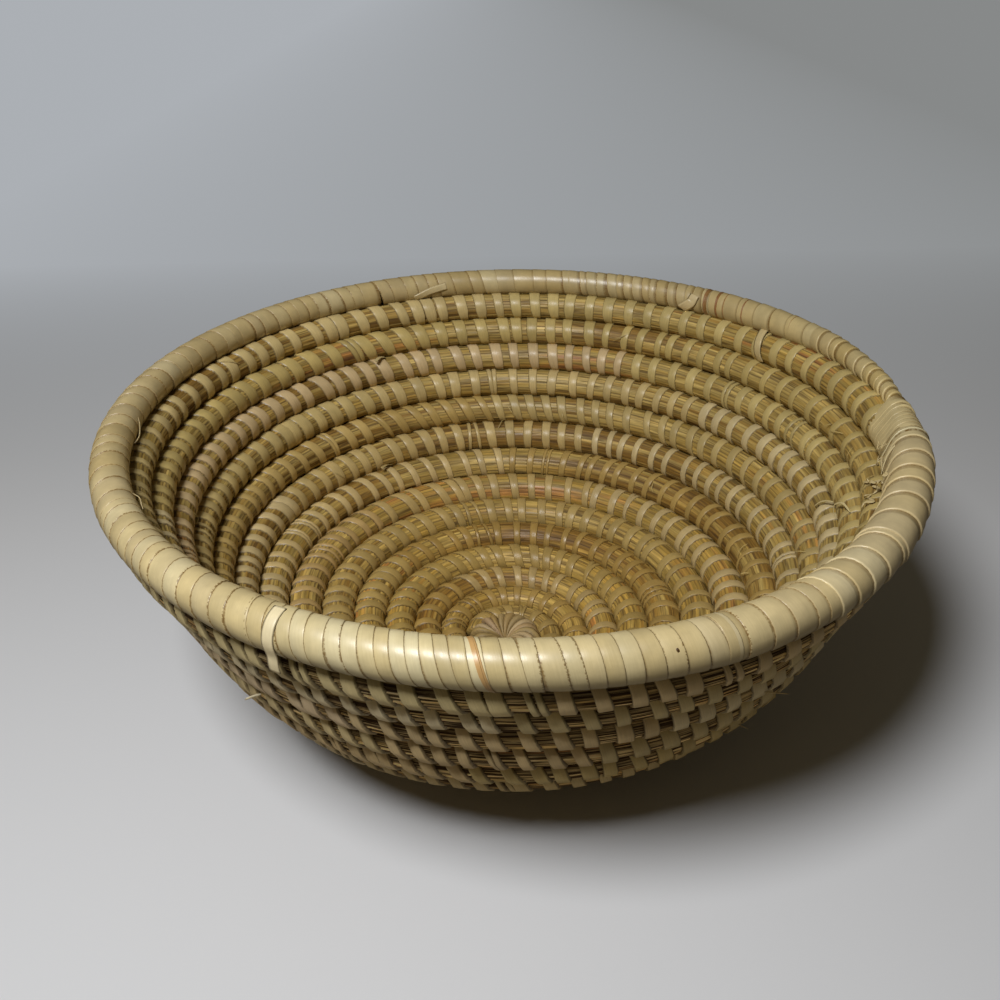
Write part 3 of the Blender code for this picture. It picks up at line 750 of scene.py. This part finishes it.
def wrap(cloth, coil, rng, surface, turns, angles, lap, colours, toothed=0.0):
    """One lap of the rim's strip. One edge lies on the lap beside it, the other is tucked under the next."""
    half = lap.width / 2
    tucked = -half + lap.band
    raised = half - WRAP_LINE
    columns = [-half - WRAP_TUCK, -half, tucked, tucked + 0.1 * MM + lap.band * 0.5, lap.width / 20]
    columns = np.array(columns + [raised - RAISED_BAND, raised, half, half])
    heights = np.array([0, 0, 0, 0.25, 0.6, 0.95, 1, 0.8, 0]) * lap.step
    hump = min(LAP_HUMP, lap.step) * min(1, lap.width / (4 * MM))
    heights += np.array([0, 0, 0.3, 0.7, 1, 0.5, 0, 0, 0]) * hump
    centre = -lap.lean * WRAP_RADIUS_AT_START * 0.9 * np.radians(angles - 90)
    offsets = (centre[:, None] + lap.side * columns[None, :]) / (TURN * RIM_RADIUS)
    around = np.repeat(angles[:, None], len(columns), axis=1)
    shown = np.interp(angles, FADES_AT, (1.0, 0.05 if lap.fades else 1.0))[:, None]
    flare = np.interp(angles, FLARES_AT, FLARES if lap.step > FLARES_ABOVE else (1, 1, 1))[:, None]
    heights = heights[None, :] * shown * flare
    heights[:, 0] -= 0.12 * MM
    heights[:, -1] -= 0.25 * MM
    places = surface(coil, turns + offsets, around, heights)
    run = WRAP_RADIUS_AT_START * np.radians(angles + 92) / MM
    across = columns / MM + rng.uniform(0, 400)
    uvs = np.stack(np.broadcast_arrays(across[None, :], run[:, None]), axis=-1)
    edges = shown * np.array([1.0, 1.0, 0, 0, 0, 0, 0, 1.0, 1.0])
    share = np.clip(columns / lap.width + 0.5, 0, 1)[:, None]
    blended = colours[0] * (1 - share) + colours[1] * share
    blended = np.repeat(blended[None], len(angles), axis=0)
    # Painted shade: the lap's tucked edge is painted darker, as in the shadow of the raised edge beside it.
    deeper = np.interp(angles, DEEPER_AT, DEEPER)[:, None, None]
    blended[:, :3] *= 1 - (1 - lap.hollow) * shown[..., None] * deeper * np.array(PAINTED_SHADE_TINT)
    # Painted highlight: where the painted shade is dark, the raised edge is painted lighter and loses most of its brown
    # line.
    if lap.hollow < BAND_BELOW:
        edges[:, -2] *= 0.15
        blended[:, 6:8] *= 1.12
    if lap.width < STREAK_BELOW:
        edges = edges * 0.25
    teeth = np.array([0, 0.6, 0.6, 0, 0, 0, 1, 1, 0]) * toothed
    if lap.side < 0:
        places = places[:, ::-1]
        uvs = uvs[:, ::-1]
        edges = edges[:, ::-1]
        blended = blended[:, ::-1]
        teeth = teeth[::-1]
    # Painted shade: the lap is painted darker underneath the rim and a little lighter on top.
    underneath = np.interp(angles, LOW_ANGLES, LOW_SHADES)[:, None, None]
    # Painted shade and light: near the rim's end the strips are painted darker outside and a little lighter on top.
    side_shade = np.interp(turns, SIDE_SHADE_AT, (0, 1, 1, 0))
    underneath = underneath * (1 - side_shade * np.interp(angles, SIDE_SHADE_ANGLES, SIDE_SHADE)[:, None, None])
    cloth.add(places, uvs, blended * underneath, edges, teeth)


RIM_SHADES_AT = (0.0, 0.1, 0.25, 0.4, 0.5, 0.62, 0.72, 0.84, 0.93, 1.01)
RIM_SHADES = (
    (0.86, 0.81, 0.68),
    (0.78, 0.73, 0.64),
    (0.76, 0.71, 0.62),
    (0.84, 0.80, 0.74),
    (0.87, 0.83, 0.78),
    (0.92, 0.90, 0.88),
    (0.96, 0.96, 0.96),
    (0.95, 0.93, 0.94),
    (0.91, 0.88, 0.86),
    (0.84, 0.80, 0.70),
)


LOW_ANGLES = (-92, -45, -5, 35, 60, 120, 195, 225, 272)  # painted shade: the rim's strips are painted darker underneath, inside and out, and a little lighter on top
LOW_SHADES = (0.34, 0.37, 0.66, 0.96, 1.03, 0.95, 0.95, 0.82, 0.68)
SIDE_SHADE_AT = (0.8, 0.86, 0.96, 0.98)  # painted shade: from here to there the rim's strips are painted darker outside too, on the side away from the lamp, and a little lighter on top
SIDE_SHADE_ANGLES = (-20, 20, 50, 90, 140)
SIDE_SHADE = (0.26, 0.2, 0.0, -0.08, 0.0)
BAND_BELOW = 0.75  # laps whose tucked edge has painted shade darker than this get a painted highlight on their raised edge
LAP_HUMP = 0.045 * MM  # how far the middle of a lap stands above its edges
TOOTHED_AT = (0.618, 0.633, 0.646, 0.655, 0.746, 0.751, 0.786, 0.81)  # joints with rough, dotted edges
TEETH_FROM, TEETH_TO = 0.1, 0.83  # other joints have them by chance, between these
FADES_FROM, FADES_UNTIL = 0.953, 0.98  # laps here lie smooth inside the bowl


def wind(cloth, coil, rng, surface, angles, stretch):
    """Laps side by side between two places."""
    start, end, every, step, side, hollow, band = stretch
    palette = linear(WRAP_COLOURS)
    per_run = 1 / (TURN * RIM_RADIUS)
    shades = np.array(RIM_SHADES)
    turns = start
    while turns < end:
        width = every * MM * rng.uniform(0.72, 1.28)
        turns += width / 2 * per_run
        lean = math.tan(math.radians(np.interp(turns, WRAP_LEAN_AT, WRAP_LEAN) + rng.normal(0, 1.8)))
        shade = across_rows(turns, RIM_SHADES_AT, shades)
        colour = palette[rng.integers(len(palette))] * rng.uniform(0.92, 1.04) * shade
        other = palette[rng.integers(len(palette))] * shade
        fades = FADES_FROM < turns < FADES_UNTIL
        if fades:
            colour = palette[0] * rng.uniform(0.97, 1.02) * shade
            other = colour
        toothed = float(rng.uniform() < 0.08 and TEETH_FROM < turns < TEETH_TO)
        if min(abs(turns - place) for place in TOOTHED_AT) < width / 2 * per_run:
            toothed = 1.0
        colours = (colour, colour * 0.6 + other * 0.4)
        lap = Lap(width, step * MM, side, lean, hollow, min(band * MM, width / 4), fades)
        wrap(cloth, coil, rng, surface, turns, angles, lap, colours, toothed)
        turns += width / 2 * per_run


# Where laps of one kind start and end, their width and step in mm, which edge is raised, and how dark the
# painted shade on the other is and how far it reaches, in mm
RIM_STRETCHES = (
    (-0.024, 0.0, 4.2, 0.6, -1, 0.34, 1.0),
    (0.0, 0.052, 5.2, 0.45, -1, 0.42, 0.9),
    (0.052, 0.112, 7.6, 0.3, 1, 0.66, 0.7),
    (0.112, 0.2, 3.9, 0.22, 1, 0.66, 0.9),
    (0.2, 0.27, 7.0, 0.16, 1, 0.8, 0.5),
    (0.27, 0.4, 5.4, 0.18, 1, 0.8, 0.5),
    (0.4, 0.575, 7.4, 0.24, 1, 0.86, 0.4),
    (0.575, 0.66, 5.2, 0.18, 1, 0.92, 0.24),
    (0.66, 0.8, 3.95, 0.16, 1, 0.92, 0.24),
    (0.8, 0.84, 5.6, 0.2, -1, 0.84, 0.5),
    (0.84, 0.88, 7.4, 0.36, -1, 0.68, 1.0),
)
RIM_END_STRETCHES = (
    (0.88, 0.953, 8.4, 0.42, -1, 0.54, 1.4),
    (0.953, 0.973, 2.7, 0.12, -1, 0.78, 0.3),
    (0.973, 0.98, 3.0, 0.6, -1, 0.36, 0.9),
)
STREAKS = (  # narrow brown or reddish strips: turns, width in mm, lean in degrees and colour
    (0.7335, 0.6, 19, (204, 162, 104)),
    (0.1255, 0.9, 8, (168, 124, 80)),
    (0.1180, 0.9, 8, (166, 118, 74)),
    (0.1125, 1.7, 8, (182, 132, 80)),
    (0.1010, 0.9, 8, (172, 118, 74)),
    (0.0700, 0.5, 8, (176, 140, 92)),
)


def rim_wraps(coil, finish):
    """All laps of the rim's strips, from the rim's end round to where the rim's end lies on it."""
    rng = np.random.default_rng(3)
    cloth = Cloth("rim_wraps")
    angles = np.array(EVEN_LAP, float)
    for stretch in RIM_STRETCHES:
        wind(cloth, coil, rng, round_rim, angles, stretch)
    above = partial_lift(round_rim, 0.24 * MM)
    for turns, width, lean, streak in STREAKS:
        colour = linear(streak)
        slope = math.tan(math.radians(lean))
        lap = Lap(width * MM, 0.05 * MM, 1, slope)
        wrap(cloth, coil, rng, above, turns, angles, lap, (colour, colour * 0.85))
    return cloth.finish(finish, "pale_split_leaf", ("rim_wrap",))


def partial_lift(surface, rise):
    """The same surface, a little higher."""
    return lambda coil, turns, angles, lift: surface(coil, turns, angles, lift + rise)


RAISED_EDGE_AT = 0.9525  # a narrow strip stands up here between broad ones


def rim_end_laps(coil, finish):
    """The laps that go round both the rim's end and the turn below it."""
    rng = np.random.default_rng(4)
    cloth = Cloth("rim_end_laps")
    angles = np.array(BOUND_LAP, float)
    for stretch in RIM_END_STRETCHES:
        wind(cloth, coil, rng, round_both, angles, stretch)
    pale = linear(WRAP_COLOURS[2]) * 0.9
    above = partial_lift(round_both, 0.5 * MM)
    lean = math.tan(math.radians(13))
    lap = Lap(1.2 * MM, 0.1 * MM, 1, lean)
    wrap(cloth, coil, rng, above, RAISED_EDGE_AT, angles, lap, (pale, pale))
    return cloth.finish(finish, "pale_split_leaf", ("rim_end_binding",))


NICK = ((0.7861, 69, -0.05), (0.7863, 62, 0.05), (0.7866, 55, -0.05))  # a dent in the rim's strip

# Strip ends and stray stems: width in mm, colour, whether the ends taper, and the points that it passes
# through, each as turns, angle round the bundle and height above it in mm
RIM_LOOSE_ENDS = (
    (3.4, (232, 216, 174), False, ((0.6735, 120, 0.2), (0.674, 50, 0.3), (0.6744, -14, 0.5), (0.6746, -36, 4.0))),
    (0.8, (84, 62, 34), True, NICK),
    (3.2, (208, 190, 144), False, ((0.272, 192, 0.3), (0.281, 206, 0.7), (0.290, 232, 1.0))),
    (4.4, (206, 186, 140), False, ((0.130, 165, 0.3), (0.131, 200, 0.6), (0.137, 236, 1.2))),
    (0.7, (214, 196, 150), True, ((0.9515, 100, 0.9), (0.948, 125, 1.2), (0.941, 152, 1.4), (0.931, 192, 0.6))),
    (0.7, (214, 196, 150), True, ((0.497, 182, 0.3), (0.503, 196, 1.3), (0.510, 206, 1.7), (0.514, 215, 0.6))),
    (0.9, (214, 196, 150), True, ((0.569, 172, 0.3), (0.574, 178, 1.4), (0.581, 184, 0.5))),
)
STRIP_LOOSE_ENDS = (
    (3.4, (196, 176, 128), False, ((1.086, 96, 1.0), (1.083, 130, 1.0), (1.080, 200, 0.6), (1.078, 240, 0.4))),
    (1.5, (190, 170, 120), False, ((3.314, 122, 0.4), (3.318, 134, 1.8), (3.322, 150, 2.6))),
    (1.5, (180, 158, 106), False, ((7.328, 124, 0.4), (7.334, 138, 1.8), (7.340, 152, 2.4))),
    (0.8, (206, 188, 136), True, ((3.972, 172, 0.4), (3.968, 140, 1.8), (3.962, 108, 2.2), (3.956, 92, 2.0))),
    (0.8, (206, 188, 136), True, ((2.947, 222, 0.5), (2.950, 190, 1.7), (2.944, 160, 1.7), (2.936, 148, 0.4))),
)
STRAY_STEMS = (
    (0.7, (230, 218, 184), True, ((4.640, 24, 0.3), (4.637, 16, 1.6), (4.634, 8, 3.0))),
    (0.5, (168, 148, 104), True, ((3.834, 2, 0.3), (3.838, 0, 1.8), (3.844, -6, 3.8))),
    (0.4, (158, 138, 94), True, ((5.840, 12, 0.3), (5.842, 4, 1.2), (5.845, -4, 2.2))),
)
FRAYED_AT = ((0.925, 0.951, 168, 205), (1.925, 1.952, 125, 175))
FRAYED_COUNT = 7
WHISKERS = 26


def ribbon(cloth, coil, rng, width, colour, tapers, points):
    """A strip or stem through points near the bundle, closed all round."""
    turns, angles, lifts = np.array(points, float).T
    steps = np.linspace(0, len(points) - 1, 31)
    turns = np.interp(steps, np.arange(len(points)), turns)
    angles = np.interp(steps, np.arange(len(points)), angles)
    lifts = np.interp(steps, np.arange(len(points)), lifts) * MM
    base = np.where(turns < 1, wrap_radius(turns), coil.read(turns, "half") * swell(angles) + STITCH_RISE)
    middle = coil.point(turns, angles, base + lifts)
    upwards = coil.point(turns, angles, base + lifts + MM) - middle
    upwards /= np.linalg.norm(upwards, axis=1)[:, None]
    for smoothing in range(8):
        middle[1:-1] = (middle[:-2] + 2 * middle[1:-1] + middle[2:]) / 4
    along = np.gradient(middle, axis=0)
    along /= np.linalg.norm(along, axis=1)[:, None]
    sideways = np.cross(along, upwards)
    sideways /= np.linalg.norm(sideways, axis=1)[:, None]
    shares = np.linspace(-1, 1, len(steps))
    fullness = np.sqrt(np.clip(1 - shares**4, 0.02, 1)) if tapers else np.ones(len(steps))
    thick = min(0.25, 0.45 * width) * MM
    round_it = np.array([(-0.5, 0), (-0.3, 1), (0.3, 1), (0.5, 0), (0.3, -1), (-0.3, -1), (-0.5, 0)])
    spread = round_it[:, 0][None, :] * (width * MM * fullness)[:, None]
    rise = round_it[:, 1][None, :] * (thick / 2 * fullness)[:, None]
    places = middle[:, None, :] + spread[..., None] * sideways[:, None, :] + rise[..., None] * upwards[:, None, :]
    places[..., 2] = np.maximum(places[..., 2], FLOOR_CLEAR)
    across = round_it[:, 0] * width + rng.uniform(0, 300)
    run = np.concatenate([[0], np.cumsum(np.linalg.norm(np.diff(middle, axis=0), axis=1))]) / MM
    uvs = np.stack(np.broadcast_arrays(across[None, :], run[:, None]), axis=-1)
    colours = np.broadcast_to(linear(colour), places.shape)
    edges = np.tile(np.array([0.8, 0, 0, 0.8, 0, 0, 0.8]), (len(steps), 1))
    cloth.add(places, uvs, colours, edges, weld=True)


def frayed_bits(cloth, coil, rng):
    """Crumpled scraps of strip where the rim's end is bound."""
    for first, last, low, high in FRAYED_AT:
        for scrap in range(FRAYED_COUNT):
            turns = rng.uniform(first, last)
            angle = rng.uniform(low, high)
            points = [(turns, angle, 0.3)]
            for bend in range(3):
                turns += rng.normal(0, 0.0022)
                angle += rng.normal(0, 14)
                points.append((turns, angle, rng.uniform(0.2, 1.7)))
            ribbon(cloth, coil, rng, rng.uniform(0.5, 1.4), (196, 176, 128), True, points)


def whiskers(cloth, coil, rng):
    """Thin stray stems that curve over the turns inside the bowl."""
    for whisker in range(WHISKERS):
        turns = rng.uniform(1.3, 8.5)
        angle = rng.uniform(100, 190)
        reach = rng.uniform(25, 60)
        slide = rng.uniform(-0.012, 0.012)
        top = rng.uniform(0.6, 1.5)
        points = ((turns, angle, 0.1), (turns + slide / 2, angle + reach / 2, top), (turns + slide, angle + reach, 0.2))
        ribbon(cloth, coil, rng, rng.uniform(0.22, 0.36), (198, 174, 112), True, points)


def loose_ends(coil, pale_finish, strip_finish, grass_finish):
    """The ends of strips and stray stems that the sewing left."""
    rng = np.random.default_rng(21)
    cloth = Cloth("rim_strip_ends")
    for entry in RIM_LOOSE_ENDS:
        ribbon(cloth, coil, rng, *entry)
    close_ends(cloth)
    cloth.finish(pale_finish, "pale_split_leaf")
    cloth = Cloth("sewing_strip_ends")
    for entry in STRIP_LOOSE_ENDS:
        ribbon(cloth, coil, rng, *entry)
    frayed_bits(cloth, coil, rng)
    close_ends(cloth)
    cloth.finish(strip_finish, "split_leaf")
    cloth = Cloth("stray_stems")
    for entry in STRAY_STEMS:
        ribbon(cloth, coil, rng, *entry)
    whiskers(cloth, coil, rng)
    close_ends(cloth)
    cloth.finish(grass_finish, "grass_stems")


START_SHADE = np.array((0.88, 0.81, 0.80))
START_AT = (-0.9 * MM, -2.2 * MM)
PETAL_AT = (1.2 * MM, 3.6 * MM, 6.4 * MM, 12.3 * MM)  # out from the middle
PETAL_WIDTH = (0.5 * MM, 1.1 * MM, 2.1 * MM, 3.4 * MM)
START_HEIGHT = 4.6 * MM


def start_pinwheel(coil, finish):
    """The first ring of the bundle, wrapped by itself: laps that all pass through the middle."""
    rng = np.random.default_rng(9)
    palette = linear(LEAF_COLOURS)
    cloth = Cloth("start_wraps")
    ring, thick = 6.4 * MM, 5.8 * MM
    laps = 18
    angles = np.linspace(200, -160, 19)
    for lap in range(laps):
        direction = TURN * (lap + rng.uniform(-0.16, 0.16)) / laps
        wide = rng.uniform(0.85, 1.12)
        proud = rng.uniform(-0.25, 0.35) * MM
        colour = palette[rng.integers(len(palette))] * rng.uniform(0.85, 1.0) * START_SHADE
        rows = []
        for angle in np.radians(angles):
            out = ring + thick * math.cos(angle)
            sunk = 2.6 * MM * max(0, 1 - out / (9 * MM))
            high = START_HEIGHT + thick * 0.88 * math.sin(angle) - sunk
            swirl = -0.18 * (out - ring) / thick
            row = []
            for column, rise in zip((-0.62, -0.5, 0, 0.5, 0.62), (-1.2, 0.0, 0.7, 0.5, -1.2)):
                spread = column * wide * np.interp(out, PETAL_AT, PETAL_WIDTH) / max(out, 1.2 * MM)
                lift = 1 + (rise * MM + proud) / thick
                reach = max(ring + (out - ring) * lift, 0.2 * MM)
                turn = direction + spread + swirl
                height = max(START_HEIGHT + (high - START_HEIGHT) * lift, FLOOR_CLEAR)
                row.append((reach * math.cos(turn) + START_AT[0], reach * math.sin(turn) + START_AT[1], height))
            rows.append(row)
        places = np.array(rows)
        run = thick * np.radians(200 - angles) / MM
        across = np.array([0, 0.2, 1.5, 2.8, 3.0]) + rng.uniform(0, 300)
        uvs = np.stack(np.broadcast_arrays(across[None, :], run[:, None]), axis=-1)
        edges = np.tile(np.array([1.0, 0.9, 0.0, 0.8, 1.0]), (len(angles), 1))
        cloth.add(places, uvs, np.broadcast_to(colour, (len(angles), 5, 3)), edges)
    return cloth.finish(finish, "split_leaf", ("start_knot",))


# Floor, light and camera

FLOOR_COLOUR = (0.70, 0.71, 0.73)
FLOOR_BOUNCE = (0.26, 0.225, 0.165)
# Painted light: the far ground is painted paler on the left than on the right, as the light falls off.
GROUND_LEFT = (170, 174, 179)
GROUND_RIGHT = (134, 136, 136)
GROUND_STARTS = 0.1
GROUND_FULL = 0.5
ROUND_GROUND = (0.45, 0.85)  # out from the basket it is even on the other sides too
GROUND_MEETS_ROOM = (1.6, 4.0)  # far out on the right it takes the room's colour
WORLD_COLOUR = (1.0, 0.83, 0.54)
WORLD_STRENGTH = 0.05
CAMERA_AT = (0.0, -0.2905567, 0.1289198)  # from the middle of the rim
CAMERA_RIGHT = (0.99980179, -0.00498249, -0.01927594)
CAMERA_UP = (0.01920007, 0.49743593, 0.86728822)


def add_floor():
    bm = bmesh.new()
    bmesh.ops.create_grid(bm, x_segments=1, y_segments=1, size=30)
    mesh = bpy.data.meshes.new("floor")
    bm.to_mesh(mesh)
    bm.free()
    mesh.materials.append(pale_floor())
    floor = bpy.data.objects.new("floor", mesh)
    bpy.context.scene.collection.objects.link(floor)


def area_light(name, at, towards, size, watts, colour=(1, 1, 1)):
    light = bpy.data.lights.new(name, "AREA")
    light.shape = "DISK"
    light.size = size
    light.energy = watts
    light.color = colour
    lamp = bpy.data.objects.new(name, light)
    lamp.location = at
    lamp.rotation_euler = (Vector(towards) - Vector(at)).to_track_quat("-Z", "Y").to_euler()
    bpy.context.scene.collection.objects.link(lamp)


def add_light():
    area_light("main_light", (-0.17, -0.31, 0.57), (0, 0, 0.04), 0.2, 3.3)
    world = bpy.data.worlds.new("soft_room")
    world.use_nodes = True
    tree = world.node_tree
    room = tree.nodes["Background"]
    room.inputs["Color"].default_value = (*WORLD_COLOUR, 1)
    room.inputs["Strength"].default_value = WORLD_STRENGTH
    seen = tree.nodes.new("ShaderNodeBackground")
    seen.inputs["Color"].default_value = (*linear(GROUND_LEFT), 1)
    mix = tree.nodes.new("ShaderNodeMixShader")
    tree.links.new(tree.nodes.new("ShaderNodeLightPath").outputs["Is Camera Ray"], mix.inputs["Fac"])
    tree.links.new(room.outputs["Background"], mix.inputs[1])
    tree.links.new(seen.outputs["Background"], mix.inputs[2])
    tree.links.new(mix.outputs["Shader"], tree.nodes["World Output"].inputs["Surface"])
    bpy.context.scene.world = world


def add_camera():
    lens = bpy.data.cameras.new("camera")
    lens.sensor_width = 36
    lens.lens = 36
    camera = bpy.data.objects.new("camera", lens)
    right, up = Vector(CAMERA_RIGHT), Vector(CAMERA_UP)
    axes = Matrix((right, up, right.cross(up))).transposed()
    above = BOWL_DEPTH + MIDDLE_ABOVE_FLOOR
    camera.matrix_world = Matrix.Translation(Vector(CAMERA_AT) + Vector((0, 0, above))) @ axes.to_4x4()
    bpy.context.scene.collection.objects.link(camera)
    bpy.context.scene.camera = camera


def main():
    coil = Coil()
    strip_finish = leaf("split_leaf", 0.36, 0.09, 0.5, 0.6, EDGE_BROWN)
    pale_finish = leaf("pale_split_leaf", 0.4, 0.045, 0.3, 0.95, EDGE_GOLD, 0.2, 0.4)
    grass_finish = grass("grass_stems")
    grass_bundle(coil, grass_finish)
    sewing(coil, strip_finish)
    rim_wraps(coil, pale_finish)
    rim_end_laps(coil, pale_finish)
    loose_ends(coil, pale_finish, strip_finish, grass_finish)
    start_pinwheel(coil, leaf("dull_split_leaf", 0.58, 0.14, 0.4, 0.6, EDGE_BROWN))
    add_floor()
    add_light()
    add_camera()
    bpy.context.scene.view_settings.view_transform = "Standard"


main()
